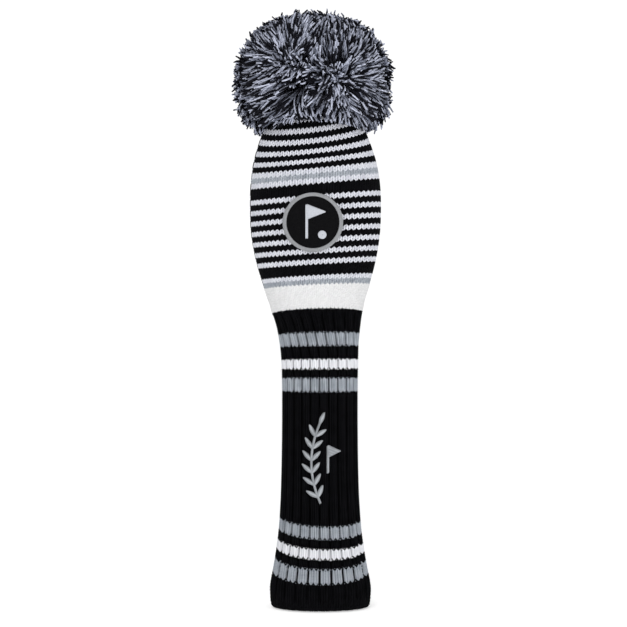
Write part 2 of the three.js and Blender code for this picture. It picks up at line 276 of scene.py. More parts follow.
def ellipsoid(name, centre, radii, rings=16, sides=28):
    rise = np.linspace(-math.pi / 2, math.pi / 2, rings + 2)[1:-1]
    turn = 2 * math.pi * np.arange(sides) / sides
    grid = direction(*np.broadcast_arrays(turn[None, :], rise[:, None])) * np.array(radii)
    ends = np.array([(0, 0, -radii[2]), (0, 0, radii[2])])
    n = np.arange(rings * sides).reshape(rings, sides)
    low, high = rings * sides, rings * sides + 1
    first = np.stack([np.full(sides, low), np.roll(n[0], -1), n[0]], -1)
    last = np.stack([np.full(sides, high), n[-1], np.roll(n[-1], -1)], -1)
    points = np.concatenate([grid.reshape(-1, 3), ends]) + np.array(centre)
    return mesh_object(name, points, [ring_quads(n[:-1], n[1:]), first, last])


def closed_grid(name, top, bottom):
    """A solid between two grids of points of one shape (rows, columns, 3)."""
    rows, columns, _ = top.shape
    n = np.arange(rows * columns).reshape(rows, columns)
    m = n + rows * columns
    quads = [
        np.stack([n[:-1, :-1], n[:-1, 1:], n[1:, 1:], n[1:, :-1]], -1).reshape(-1, 4),
        np.stack([m[:-1, :-1], m[1:, :-1], m[1:, 1:], m[:-1, 1:]], -1).reshape(-1, 4),
    ]
    edges = ((n[0], m[0]), (n[-1][::-1], m[-1][::-1]), (n[::-1, 0], m[::-1, 0]), (n[:, -1], m[:, -1]))
    for edge, low in edges:
        quads.append(np.stack([edge[1:], edge[:-1], low[:-1], low[1:]], -1))
    return mesh_object(name, np.concatenate([top.reshape(-1, 3), bottom.reshape(-1, 3)]), quads)


# -------------------- materials

# Noise as (scale to a metre, detail), and the heights of the relief in metres.
FIBRE_NOISE = (2600, 3)
MOTTLE_NOISE = (160, 2)
GRAIN_DETAIL = 5
YARN_RELIEF = 0.00025
CLOTH_RELIEF = 0.0002
# How much the plies show in a yarn's relief, and how far the twist darkens its colour in the plies' grooves
# and lightens it on their crowns: painted shade and painted highlight.
PLY_RELIEF = 0.5
PLY_PAINTED_SHADE = 0.22


def node(tree, kind, inputs=(), **settings):
    """A shader node: each input is a value or another node's output, and settings are its properties."""
    made = tree.nodes.new("ShaderNode" + kind)
    for key, value in settings.items():
        setattr(made, key, value)
    for key, value in dict(inputs).items():
        if isinstance(value, bpy.types.NodeSocket):
            tree.links.new(value, made.inputs[key])
        else:
            made.inputs[key].default_value = value
    return made


def math_node(tree, operation, *values):
    return node(tree, "Math", enumerate(values), operation=operation).outputs[0]


def noise(tree, scale, detail):
    place = node(tree, "TexCoord").outputs["Object"]
    return node(tree, "TexNoise", {"Vector": place, "Scale": scale, "Detail": detail}).outputs["Fac"]


def node_material(name, colour, roughness, specular, sheen=0.0):
    mat = bpy.data.materials.new(name)
    mat.use_nodes = True
    shader = mat.node_tree.nodes["Principled BSDF"]
    shader.inputs["Base Color"].default_value = (*colour, 1)
    shader.inputs["Roughness"].default_value = roughness
    shader.inputs["Specular IOR Level"].default_value = specular
    shader.inputs["Sheen Weight"].default_value = sheen
    shader.inputs["Sheen Roughness"].default_value = 0.4
    return mat, mat.node_tree, shader


def colour_by(tree, shader, factor, dark_at, dark, light_at, light):
    """The shader's colour goes from dark to light between two values of a factor."""
    ramp = node(tree, "ValToRGB", {"Fac": factor})
    for stop, place, colour in zip(ramp.color_ramp.elements, (dark_at, light_at), (dark, light)):
        stop.position = place
        stop.color = (*colour, 1)
    tree.links.new(ramp.outputs["Color"], shader.inputs["Base Color"])


def relief_by(tree, shader, height, strength, distance):
    bump = node(tree, "Bump", {"Height": height, "Strength": strength, "Distance": distance})
    tree.links.new(bump.outputs["Normal"], shader.inputs["Normal"])


def yarn_material(name, dark, light, specular=0.1, sheen=0.05, plies=2.0, bump=0.35, vary=0.0):
    """Plied yarn: twist along its length from its UVs, in relief and as painted shade in the grooves between
    plies, and mottling from place to place.

    vary is how much each strand's own "tone" counts.
    """
    mat, tree, shader = node_material(name, light, 0.92, specular, sheen)
    uv = node(tree, "SeparateXYZ", {0: node(tree, "UVMap", uv_map="yarn").outputs["UV"]}).outputs
    turns = math_node(tree, "MULTIPLY_ADD", uv["Y"], plies, uv["X"])
    wave = math_node(tree, "SINE", math_node(tree, "MULTIPLY", turns, 2 * math.pi))
    height = math_node(tree, "MULTIPLY_ADD", wave, PLY_RELIEF, noise(tree, *FIBRE_NOISE))
    relief_by(tree, shader, height, bump, YARN_RELIEF)
    # The twist's wave goes into the colour too: painted shade in the plies' grooves and painted highlight on
    # their crowns, on top of real mottling.
    mottle_and_ply_shade = math_node(tree, "MULTIPLY_ADD", wave, PLY_PAINTED_SHADE, noise(tree, *MOTTLE_NOISE))
    own = node(tree, "Attribute", attribute_name="tone").outputs["Fac"]
    tone = node(tree, "Mix", {"Factor": vary, "A": mottle_and_ply_shade, "B": own}).outputs["Result"]
    colour_by(tree, shader, tone, 0.2, dark, 0.75, light)
    return mat


def fabric_material(name, dark, light, scale=900, specular=0.1, bump=0.3, roughness=0.95):
    """A plain close cloth, felt or moulded rubber: fine grain in colour and relief."""
    mat, tree, shader = node_material(name, light, roughness, specular)
    grain = noise(tree, scale, GRAIN_DETAIL)
    colour_by(tree, shader, grain, 0.3, dark, 0.7, light)
    relief_by(tree, shader, grain, bump, CLOTH_RELIEF)
    return mat


BLACK = yarn_material("black_yarn", (0.0012, 0.0012, 0.0016), (0.0040, 0.0040, 0.0052), 0.05, 0.0)
WHITE = yarn_material("white_yarn", (0.67, 0.67, 0.675), (0.735, 0.735, 0.74))
# The thin bell stripes' white: a darker, bluer copy of the white yarn, painted shade from the black courses
# round them.
STRIPE_WHITE_PAINTED_SHADE = yarn_material("white_stripe_yarn_painted_shade", (0.56, 0.57, 0.63), (0.72, 0.73, 0.78))
# The neck's white courses: a lighter copy of the white yarn, painted light against the shade of the rib
# hollows.
RIB_WHITE_PAINTED_LIGHT = yarn_material("white_rib_yarn_painted_light", (0.72, 0.725, 0.76), (0.80, 0.805, 0.84))
GREY = yarn_material("grey_yarn", (0.26, 0.285, 0.32), (0.41, 0.44, 0.485))
POM_BLACK = yarn_material("pom_black", (0.0025, 0.0025, 0.004), (0.010, 0.010, 0.015), sheen=0.0)
POM_GREY = yarn_material("pom_grey", (0.085, 0.095, 0.13), (0.54, 0.57, 0.69), 0.15, bump=0.5, vary=0.6)
THREAD = yarn_material("silver_thread", (0.24, 0.255, 0.27), (0.42, 0.44, 0.465), 0.3, 0.0, 1.0, 0.2)
LINING = fabric_material("lining_cloth", (0.006, 0.006, 0.008), (0.014, 0.014, 0.017))
FELT = fabric_material("felt", (0.012, 0.012, 0.014), (0.03, 0.03, 0.034), 600)
ELASTIC = fabric_material("elastic", (0.006, 0.006, 0.007), (0.016, 0.016, 0.018), 1500)
CORD = fabric_material("tie_cord", (0.005, 0.005, 0.007), (0.012, 0.012, 0.015), 1200)
PATCH_BLACK = fabric_material(
    "patch_moulded_black", (0.002, 0.002, 0.0025), (0.0065, 0.0065, 0.007), 1400, 0.03, 0.25, 0.8)
PATCH_GREY = fabric_material(
    "patch_moulded_grey", (0.23, 0.236, 0.248), (0.30, 0.308, 0.322), 1000, 0.2, 0.15, 0.7)
PATCH_SILVER = fabric_material(
    "patch_moulded_silver", (0.42, 0.44, 0.48), (0.50, 0.52, 0.56), 1000, 0.2, 0.15, 0.7)


def dress(piece, material, body="cover"):
    piece.data.materials.append(material)
    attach(piece, body)
    return piece


# -------------------- the knit

# Stripes from the hem up: colour, height of the upper edge at the front, and courses.
K, W, G = "black", "white", "grey"
NECK_STRIPES = [
    (K, 20.2, 10), (G, 30.3, 5), (K, 37.9, 4), (W, 44.3, 4), (K, 52.1, 4), (G, 60.6, 5), (K, 157.1, 58),
    (G, 166.6, 6), (K, 173.6, 4), (W, 180.0, 4), (K, 190.0, 6), (G, 199.3, 6), (K, BELL_START, 11),
]
BAND_TOP = 233.4
BAND_COURSES = 9
STRIPE_PITCH = 7.58
BELL_STRIPES = [(W, BAND_TOP, BAND_COURSES), (G, 237.1, 2), (W, 240.0, 2), (K, 247.7, 4)]
for n in range(6):
    BELL_STRIPES += [(W, 251.2 + STRIPE_PITCH * n, 2), (K, 255.3 + STRIPE_PITCH * n, 2)]
BELL_STRIPES += [
    (W, 296.7, 2), (K, 304.7, 4), (W, 308.4, 2), (G, 312.0, 2), (W, 315.7, 2), (K, 319.3, 2), (W, 322.5, 2),
    (K, 326.1, 2), (W, 329.5, 2), (K, 333.4, 2), (W, 337.1, 2), (K, 341.3, 2), (W, 345.1, 2), (K, 349.7, 2),
    (W, 352.0, 1), (K, 364.0, 8),
]
# The height where the hem turns under, the radius of its fold, and the courses of the fold and its inside.
HEM_FOLD = 3.2
FOLD_RADIUS = 2.65
HEM_COURSES = 19
HEM_PITCH = 1.75

# Ribs: a purl wale's share of a rib and what the hem adds, the hollow's depth and what the hem and the fold
# take off it, the share of it in white courses, how much of their room the knit wales fill, and how narrow
# the hollow is.
PURL, PURL_WIDER = 0.05, 0.04
HOLLOW, HOLLOW_LESS, FOLD_LESS = 3.4, 1.4, 1.95
WHITE_HOLLOW = 0.55
KNIT_FILL = 0.88
HOLLOW_POWER = 3.2

# Loops: how many radii deep they are and how much less in the fold and the bell, how far the neck's last
# courses stand out, how much flatter a purl loop is, and how a yarn's radius follows its wale's width.
STAND, HEM_STAND_LESS, BELL_STAND_LESS = 1.15, 0.8, 0.35
NECK_END_OUT = 0.25
PURL_FLATTER = 0.6
WIDTH_POWER = 0.7

# Radii of the yarn: in the bell as shares of a wale's width, and in the neck in millimetres.
BAND_YARN = 0.28
STRIPE_YARN = {W: 0.18, G: 0.17, K: 0.225}
NECK_YARN, HEM_YARN_MORE = 0.53, 0.12
WHITE_YARN_MORE = 0.2
KNIT_TWIST = 0.28
# In the neck, the white courses take the lighter copy of the white yarn: painted light.
KNIT_YARNS = {
    K: (BLACK, "black_knit_yarn"), W: (RIB_WHITE_PAINTED_LIGHT, "white_knit_yarn"), G: (GREY, "grey_knit_yarn"),
}


def courses(start, stripes):
    """One (colour, run at the front, pitch) for each course."""
    rows, low = [], start
    for colour, top, count in stripes:
        a, b = run_at(low), run_at(top)
        rows += [(colour, a + (b - a) * (n + 0.5) / count, (b - a) / count) for n in range(count)]
        low = top
    return rows


def ribbing(z):
    """How ribbed the knit is, which fades into the bell, a purl wale's share, and its hollow's depth."""
    opened = smooth(48, 14, z)
    hollow = HOLLOW - HOLLOW_LESS * opened - FOLD_LESS * smooth(13, 5, z)
    return 1 - smooth(208, 220, z), PURL + PURL_WIDER * opened, hollow


def rib(wale, ribbed, purl, hollow):
    """Where a wale lies across its rib, and how deep: two knit wales stand and one purl wale sinks."""
    group = np.floor(wale / RIB_WALES)
    p = wale - group * RIB_WALES
    knit = (1 - purl) / 2
    knitted = knit + (knit * p - knit) * KNIT_FILL
    across = np.where(p < 2, knitted, 2 * knit + purl * (p - 2))
    plain = p / RIB_WALES
    place = plain + (across - plain) * ribbed
    centre = 1 - purl / 2
    from_gap = np.abs((place - centre + 0.5) % 1 - 0.5)
    out = -hollow * (1 - 2 * from_gap) ** HOLLOW_POWER * ribbed
    return (group + place) / (WALES / RIB_WALES), out, (p > 2) * ribbed


def loops(rows, points, radius_at, splay, reach):
    """The yarn of each course, one loop to a wale: its legs stand in front of its head and its feet.

    splay is how far the legs lean within their wale, and reach is half a loop's height in courses. It gives
    the share of the way round, the rise above the course's middle, the distance out, and the yarn's radius.
    """
    runs = np.array([r[1] for r in rows])[:, None]
    pitch = np.array([r[2] for r in rows])[:, None]
    u = np.arange(WALES * points + 1)[None, :] / points
    phase = 2 * math.pi * u
    wale = np.clip(u + splay * np.sin(2 * phase), 0, WALES - 1e-6)
    z = height_at(np.abs(runs))
    ribbed, purl, hollow = ribbing(z)
    hollow = hollow * np.array([WHITE_HOLLOW if r[0] == W else 1 for r in rows])[:, None]
    share, out, is_purl = rib(wale + 0 * runs, ribbed, purl, hollow)
    radius = radius_at(rows, z) * np.interp(share, SHARES, WALE_WIDTHS) ** WIDTH_POWER
    stand = STAND - HEM_STAND_LESS * smooth(11, 4, z) - BELL_STAND_LESS * smooth(218, 222, z)
    depth = -stand * radius * (np.cos(2 * phase) * (1 - is_purl) + is_purl * hollow / HOLLOW)
    depth = depth + NECK_END_OUT * smooth(BELL_START - 3, BELL_START - 1, z) * (z < BELL_START)
    lift = -reach * pitch * np.cos(phase) * (1 - PURL_FLATTER * is_purl * np.sin(phase / 2) ** 2)
    return share, lift, out + depth - radius, radius


def knit_paths(rows, *knit):
    """Paths, outward directions and radii of the courses on the cover's wall."""
    share, lift, out, radius = loops(rows, *knit)
    runs = np.array([r[1] for r in rows])[:, None]
    angle = angle_at(share, height_at(runs))
    run = course_run(runs, angle, share) + lift
    path, normal = skin(angle, np.clip(run, 0.2, RUN[-1] - 0.5), out)
    return path, normal, radius


def fold_paths(rows, *knit):
    """The same for the courses that turn under at the hem and climb again inside it.

    A row's run is how far it is past the start of the fold.
    """
    share, lift, out, radius = loops(rows, *knit)
    past = np.array([r[1] for r in rows])[:, None] - lift
    angle = angle_at(share, 0)
    climbed = np.maximum(past - math.pi * FOLD_RADIUS, 0)
    turned = np.clip(past / FOLD_RADIUS, 0, math.pi)
    _, wide, deep, lean = form_at(run_at(HEM_FOLD + climbed))
    flat = unit(np.stack([np.cos(angle) / wide, np.sin(angle) / deep, 0 * angle], -1))
    up = np.array((0, 0, 1.0))
    cos, sin = np.cos(turned)[..., None], np.sin(turned)[..., None]
    edge = oval(wide, deep, lean, HEM_FOLD + climbed, angle)
    reach_out = (FOLD_RADIUS + out)[..., None]
    path = edge + flat * (reach_out * cos - FOLD_RADIUS) - up * reach_out * sin
    return path, flat * cos - up * sin, radius


def bell_radius(rows, z):
    """Thin yarn in the narrow stripes, and full yarn in the wide white band."""
    _, wide, deep, _ = form_at(run_at(z))
    wale = math.pi * (wide + deep) / WALES
    thin = np.array([STRIPE_YARN[r[0]] for r in rows])[:, None]
    return wale * np.where(z < BAND_TOP, BAND_YARN, thin)


def neck_radius(rows, z):
    """Fuller yarn at the hem and in the white stripes."""
    white = np.array([r[0] == W for r in rows])[:, None]
    return (NECK_YARN + HEM_YARN_MORE * smooth(30, 15, z)) * (1 + WHITE_YARN_MORE * white)


def knit_pieces(name, rows, paths, sides, most):
    """Objects for each colour's courses, in batches. The bell's band has its own white yarn, and its thin
    stripes a darker copy of it: painted shade.
    """
    path, normal, radius = paths
    made = []

    def add(piece_name, part, material):
        piece = tubes(piece_name, path[part], normal[part], radius[part], sides, KNIT_TWIST)
        made.append(dress(piece, material))

    for colour, (material, slot) in KNIT_YARNS.items():
        index = [n for n, r in enumerate(rows) if r[0] == colour]
        if name == "bell" and colour == W:
            add("bell_white_band_yarn", index[:BAND_COURSES], WHITE)
            index = index[BAND_COURSES:]
            # The bell's thin white stripes take the darker copy of the white yarn: painted shade.
            material = STRIPE_WHITE_PAINTED_SHADE
        if not index:
            continue
        for n, part in enumerate(np.array_split(index, math.ceil(len(index) / most))):
            add(f"{name}_{colour}_yarn_{n + 1}", part, material)
    return made


# Points to a loop, the yarn's radius, splay and reach, as loops takes them.
BELL_KNIT = (10, bell_radius, 0.22, 1.02)
NECK_KNIT = (8, neck_radius, 0.30, 0.98)
bell_rows = courses(BELL_START, BELL_STRIPES)
neck_rows = courses(HEM_FOLD, NECK_STRIPES)
bell = knit_pieces("bell", bell_rows, knit_paths(bell_rows, *BELL_KNIT), 6, 18)
neck = knit_pieces("neck", neck_rows, knit_paths(neck_rows, *NECK_KNIT), 5, 30)
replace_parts(bell[0], "bell_knit")
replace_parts(neck[0], "neck_knit", "hem_cuff")

# -------------------- the pom-pom

POM_CENTRE = np.array((0.0, 0.0, 388.0))
POM_SHAPE = np.array((1, 0.95, 1))
# Distance of the pom-pom's outside from its centre, by elevation in degrees.
POM_REACH = (
    (-52, 58), (-40, 61.5), (-30, 62), (-20, 59.5), (-10, 57.3), (0, 56.3), (10, 54.6), (20, 53),
    (30, 51.3), (40, 49.5), (50, 47), (60, 44.2), (75, 42), (90, 40.5),
)
POM_TUFTS = 760
TUFT_STRANDS = 12
POM_LOWEST = math.sin(math.radians(-50))
ROOT_RADIUS = 25
# Whorls that the strands are combed away from: azimuth and elevation in degrees, and what is added to the
# cosine that says how near a tip is to it. The first ones are on the front, and comb harder.
WHORLS = (
    (-112, 0, 0.0), (-68, -17, 0.08), (-104, -36, 0.0), (20, 12, 0), (25, -28, -0.03), (35, 52, 0),
    (60, -5, 0), (80, 35, 0), (92, -28, 0), (112, 8, 0), (140, 48, 0), (158, 8, 0), (165, -32, -0.03),
)
FRONT_WHORLS = 3
FRONT_COMB, OTHER_COMB = 0.75, 0.5
COMB_ANGLE = math.radians(36)
WHORL_SHARPNESS = 24
# Places where the strands part and the dark inside shows, as (azimuth, elevation, half width) in degrees.
PARTINGS = ((-110, -26, 11), (-112, 40, 4), (-50, 30, 4), (130, 15, 6), (40, -5, 5))
PARTING_EDGE = (0.6, 1.2)
# Spreads of the tufts' places, lengths, shades and leans, how far tips draw together into their tuft, and
# spreads of the tips, the roots and a strand's swing on its way.
TUFT_SCATTER, TUFT_LENGTHS, TUFT_SHADES, TUFT_LEAN = 0.04, 0.018, 0.10, 0.09
GATHERED = (0.1, 0.38)
TIP_SCATTER, ROOT_SCATTER, SWING = 0.012, 0.05, 0.9
# Lengths: mean and spread, the few long strands, and how much shorter the lowest are on the front.
STRAND_LENGTH = (0.985, 0.02)
LONG_SHARE, LONG_BY = 0.03, 1.05
FRONT_SHORTER = 0.12
# A strand's two inner control points: shares of the turn from root to tip, and of the reach.
BEND = ((0.08, 0.72), (0.42, 0.94))
STRAND_RADIUS, STRAND_VARY = 0.70, 0.08
TIP_TAPER = 0.7
BLACK_SHARE = 0.48
# The fringe on the bell: how far off its knit it stays, and the height above which it is moved up, not out.
FRINGE_CLEAR = 1.9
CROWN_FROM = 352
SHOULDER_FROM = 300
CROWN_OVAL = 1.1


def direction(azimuth, elevation):
    flat = np.cos(elevation)
    return np.stack([np.cos(azimuth) * flat, np.sin(azimuth) * flat, np.sin(elevation)], -1)


def lean_to(a, b, share):
    """Directions a share of the way from a to b."""
    return unit(a * (1 - share) + b * share)


def spiral(count, low):
    """Even directions over a sphere, above a lowest height on it."""
    n = np.arange(count) + 0.5
    z = 1 - (1 - low) * n / count
    turn = n * math.pi * (3 - math.sqrt(5))
    flat = np.sqrt(1 - z * z)
    return np.stack([flat * np.cos(turn), flat * np.sin(turn), z], -1)


def combing(tip):
    """The whorl each tip is combed away from, blended where two are near, and its root's pull to it."""
    whorls = np.array(WHORLS)
    hubs = direction(*np.radians(whorls[:, :2]).T)
    near = tip @ hubs.T + whorls[:, 2]
    weight = np.exp(WHORL_SHARPNESS * (near - near.max(1)[:, None]))
    hub = unit((weight[:, :, None] * hubs[None]).sum(1) / weight.sum(1)[:, None])
    apart = np.arccos(np.clip((tip * hub).sum(1), -1, 1))
    combs = np.where(np.arange(len(hubs)) < FRONT_WHORLS, FRONT_COMB, OTHER_COMB)
    pull = (weight * combs).sum(1) / weight.sum(1)
    return hub, pull * np.minimum(1, COMB_ANGLE / np.maximum(apart, 0.01))


def bezier(p0, p1, p2, p3, points):
    t = np.linspace(0, 1, points)[None, :, None]
    return (
        (1 - t) ** 3 * p0[:, None] + 3 * t * (1 - t) ** 2 * p1[:, None]
        + 3 * t * t * (1 - t) * p2[:, None] + t**3 * p3[:, None]
    )


def rest_on_bell(path):
    """The same paths with what is inside the bell moved to just off its knit: up at the crown, else out."""
    x, y, z = path[..., 0].copy(), path[..., 1].copy(), path[..., 2].copy()
    _, wide, deep, lean = form_at(run_at(z))
    share = np.hypot((x - lean) / (wide + FRINGE_CLEAR), y / (deep + FRINGE_CLEAR))
    inside = (share < 1) & (z < FORM[-1, 0] + FRINGE_CLEAR)
    shoulder = FORM[FORM[:, 0] > SHOULDER_FROM]
    radius = np.hypot(x, y * CROWN_OVAL)
    height = np.interp(radius, shoulder[::-1, 1], shoulder[::-1, 0]) + FRINGE_CLEAR
    up = inside & (z > CROWN_FROM)
    z[up] = np.maximum(z, height)[up]
    out = inside & ~up
    scale = np.where(out, 1 / np.maximum(share, 0.3), 1)
    return np.stack([lean * out + (x - lean * out) * scale, y * scale, z], -1)


def pompom():
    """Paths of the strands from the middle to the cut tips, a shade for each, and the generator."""
    rng = np.random.default_rng(11)
    tufts = unit(spiral(POM_TUFTS, POM_LOWEST) + rng.normal(0, TUFT_SCATTER, (POM_TUFTS, 3)))
    tuft_reach = rng.normal(1.0, TUFT_LENGTHS, POM_TUFTS)
    tuft_dark = rng.normal(0.0, TUFT_SHADES, POM_TUFTS)
    tuft_lean = unit(rng.normal(0, 1, (POM_TUFTS, 3))) * TUFT_LEAN

    count = POM_TUFTS * TUFT_STRANDS
    tip = unit(spiral(count, POM_LOWEST - 0.01) + rng.normal(0, TIP_SCATTER, (count, 3)))
    for azimuth, elevation, width in PARTINGS:
        heart = direction(math.radians(azimuth), math.radians(elevation))
        off = np.degrees(np.arccos(np.clip(tip @ heart, -1, 1)))
        tip = tip[off > width * rng.uniform(*PARTING_EDGE, len(tip))]
    count = len(tip)
    tuft = np.argmax(tip @ tufts.T, axis=1)
    tip = lean_to(tip, tufts[tuft], rng.uniform(*GATHERED, POM_TUFTS)[tuft][:, None])

    hub, pull = combing(tip)
    root = lean_to(tip, hub, pull[:, None])
    root = unit(root + tuft_lean[tuft] + rng.normal(0, ROOT_SCATTER, (count, 3)))
    root[root[:, 2] < 0, 2] *= 0.8
    root = unit(root)

    elevation = np.degrees(np.arcsin(tip[:, 2]))
    front = np.exp(-((tip[:, 0] / 0.45) ** 2)) * (tip[:, 1] < 0)
    reach = np.interp(elevation, *zip(*POM_REACH)) * tuft_reach[tuft] * rng.normal(*STRAND_LENGTH, count)
    reach *= np.where(rng.random(count) < LONG_SHARE, LONG_BY, 1.0)
    reach *= 1 - 0.01 * tip[:, 0] - FRONT_SHORTER * front * smooth(-25, -48, elevation)
    reach = reach[:, None]

    inner = [
        POM_CENTRE + lean_to(root, tip, turned) * (reach * out) * POM_SHAPE + swing
        for (turned, out), swing in zip(BEND, rng.normal(0, SWING, (2, count, 3)))
    ]
    root = POM_CENTRE + root * ROOT_RADIUS * POM_SHAPE
    path = bezier(root, *inner, POM_CENTRE + tip * reach * POM_SHAPE, 8)
    return rest_on_bell(path), rng.random(count) + tuft_dark[tuft], rng


def strand_pieces():
    """Two objects of strands for each colour, with a tone of its own for each strand."""
    path, shade, rng = pompom()
    count, points, _ = path.shape
    sides = 5
    normal = np.broadcast_to(unit(rng.normal(0, 1, (count, 1, 3))), path.shape)
    radius = np.repeat(rng.normal(STRAND_RADIUS, STRAND_VARY, (count, 1)), points, axis=1)
    radius[:, -1] *= TIP_TAPER
    black = shade < BLACK_SHARE
    made = []
    for colour, chosen, material in (("black", black, POM_BLACK), ("grey", ~black, POM_GREY)):
        for n, part in enumerate(np.array_split(np.flatnonzero(chosen), 2)):
            piece_name = f"pompom_{colour}_strands_{n + 1}"
            piece = tubes(piece_name, path[part], normal[part], radius[part], sides, 0.3)
            tone = np.repeat(rng.random(len(part)), points * sides)
            layer = piece.data.attributes.new("tone", "FLOAT", "POINT")
            layer.data.foreach_set("value", tone.astype(np.float32))
            made.append(dress(piece, material, "pompom"))
    return made


strands = strand_pieces()
# The packed middle of the strands, all in the black strands' material: partly the black yarn, partly painted
# shade deep inside the pom-pom.
dress(ellipsoid("pompom_packed_core_and_painted_shade", (0, 0, 392), (27, 25.5, 17)), POM_BLACK, "pompom")
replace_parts(strands[0], "pompom_yarn")

# -------------------- seam and turned-in hem

SEAM_STITCH = 1.9
SEAM_HALF_WIDTH = 0.9
SEAM_YARN = 0.5


def seam_piece(name, low, high, proud):
    """Overcast linking stitches along the side seam: one loop for every course or so."""
    stitches = int((high - low) / SEAM_STITCH)
    t = np.linspace(0, 1, stitches * 8 + 1)
    z = low + (high - low) * t
    turn = 2 * math.pi * stitches * t
    _, wide, deep, _ = form_at(run_at(z))
    angle = angle_at(0, z) + SEAM_HALF_WIDTH * np.sin(turn) / ((wide + deep) / 2)
    path, normal = skin(angle, run_at(z), proud + SEAM_YARN * np.cos(turn))
    return dress(tubes(name, path[None], normal[None], SEAM_YARN, 6, 0.3), BLACK)


def turned_hem():
    """The courses of the hem's fold and of its inside."""
    rows = [(K, 0.9 + HEM_PITCH * n, HEM_PITCH) for n in range(HEM_COURSES)]
    knit_pieces("hem_turned_in", rows, fold_paths(rows, *NECK_KNIT), 5, 30)


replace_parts(seam_piece("bell_side_seam_stitches", 222, 352, -0.3), "bell_side_seam")
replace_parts(seam_piece("neck_side_seam_stitches", 4, 216, -2.6), "neck_side_seam")
turned_hem()

# -------------------- linings, elastics and threads inside

# Depths below the cover's face, and the heights where the neck joins the hem and the bell.
LINING_DEPTHS = (5.3, 6.7)
BAND_DEPTHS = (4.2, 5.0)
HEM_BAND_DEPTHS = (3.0, 4.0)
KNIT_LINK_DEPTH = 1.2
LINING_LINK_DEPTH = 6.0
HEM_JOIN = 30.95
BELL_JOIN = 216.3
# Columns round the cover, and the waves and their height that stand for gathers.
LINING_WEAVE = (288, 72, 0.12)
ELASTIC_WEAVE = (240, 60, 0.15)


def level_shell(name, outer, inner, material, slot, columns, waves, ripple):
    """A closed wall between two stacks of level ovals, rippled round the cover."""
    angle = 2 * math.pi * np.arange(columns) / columns
    levels = np.array(list(outer) + list(inner)[::-1])
    wave = ripple * np.cos(waves * angle)[None, :]
    z, wide, deep, lean = [levels[:, n][:, None] for n in range(4)]
    points = oval(wide + wave, deep + wave, lean, z, angle)
    n = np.arange(len(levels) * columns).reshape(len(levels), columns)
    piece = mesh_object(name, points.reshape(-1, 3), [ring_quads(n, np.roll(n, -1, 0))])
    return dress(piece, material)


def wall(name, low, high, depths, rows, material, slot, weave):
    heights = np.linspace(low, high, rows)
    outer, inner = [[under(z, depth) for z in heights] for depth in depths]
    return level_shell(name, outer, inner, material, slot, *weave)


def bell_lining_cloth():
    """The bell's lining, closed at the crown: its walls follow the bell, then a cap of (radius, height)."""
    crown = ((28, 346), (18, 349.6), (8, 351), (1.2, 351))
    heights = np.linspace(217.6, 340, 34)
    outer = [under(z, LINING_DEPTHS[0]) for z in heights]
    inner = [under(z, LINING_DEPTHS[1]) for z in heights]
    for radius, z in crown:
        thin = 0.7 if radius > 2 else 0
        outer.append((z, radius, 0.9 * radius, 0.3))
        inner.append((z - 1.4, radius - thin, 0.9 * radius - thin, 0.3))
    return level_shell("bell_lining_cloth", outer, inner, LINING, "lining_fabric", *LINING_WEAVE)


def neck_lining_cloth():
    return wall("neck_lining_cloth", 32.3, 215.2, LINING_DEPTHS, 40, LINING, "lining_fabric", LINING_WEAVE)


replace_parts(bell_lining_cloth(), "bell_lining")
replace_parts(neck_lining_cloth(), "neck_lining")
for band, low, high, depths in (
    ("upper_neck_elastic", 196, 203, BAND_DEPTHS),
    ("lower_neck_elastic", 62, 69, BAND_DEPTHS),
    ("hem_elastic", 12, 20, HEM_BAND_DEPTHS),
):
    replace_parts(wall(band + "_band", low, high, depths, 8, ELASTIC, "elastic", ELASTIC_WEAVE), band)


def cord_piece(name, paths, radius, sides, body="cover", out=(0, 0, 1)):
    """Dark cord or thread along paths, with a direction to roll about."""
    return dress(tubes(name, paths, out, radius, sides, 0.3), CORD, body)


def linking_ring(name, z, depth):
    """A chain-stitch thread round the cover, joining two parts of it."""
    stitches = 96
    t = np.linspace(0, 1, stitches * 6 + 1)
    turn = 2 * math.pi * stitches * t
    height, wide, deep, lean = under(z, depth)
    swell = 0.35 * np.cos(turn)
    path = oval(wide + swell, deep + swell, lean, height + 0.45 * np.sin(turn), 2 * math.pi * t)
    return cord_piece(name, path[None], 0.22, 5)


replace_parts(linking_ring("bell_linking_chain", BELL_JOIN, KNIT_LINK_DEPTH), "bell_linking_thread")
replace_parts(linking_ring("hem_linking_chain", HEM_JOIN, KNIT_LINK_DEPTH), "hem_linking_thread")
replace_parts(linking_ring("lining_linking_chain", BELL_JOIN, LINING_LINK_DEPTH), "lining_linking_thread")
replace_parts(linking_ring("lining_hem_chain", HEM_JOIN, LINING_LINK_DEPTH), "lining_hem_thread")

# -------------------- crown and tie

KNOT_HEIGHT = 355.6
KNOT_RISE = (357.5, 366.3)
GATHER_RADIUS, GATHER_HEIGHT = 6.4, 363
STEM_HEIGHTS = (367.4, 373)
LOOP_RADIUS, LOOP_HEIGHT = 3.2, 377.9
BINDING_HEIGHT = 384.3
BINDING_TURNS = 5
BINDING_RADIUS = 4.4


def plied(name, centre, twists, cord, lay, body="cover"):
    """Two plies laid round a centre line (points, 3), each of radius cord, at the distance lay from it."""
    along = unit(np.gradient(centre, axis=0))
    side = unit(np.cross(along, (0.31, 0.17, 0.93)))
    up = np.cross(side, along)
    t = np.linspace(0, 1, len(centre))[:, None]
    paths = []
    for ply in (0, 0.5):
        turn = 2 * math.pi * (twists * t + ply)
        paths.append(centre + lay * (np.cos(turn) * side + np.sin(turn) * up))
    return cord_piece(name, paths, cord, 6, body, (0.1, 0.2, 0.97))


def upright_line(low, high, count):
    z = np.linspace(low, high, count)
    return np.stack([0 * z, 0 * z, z], -1)


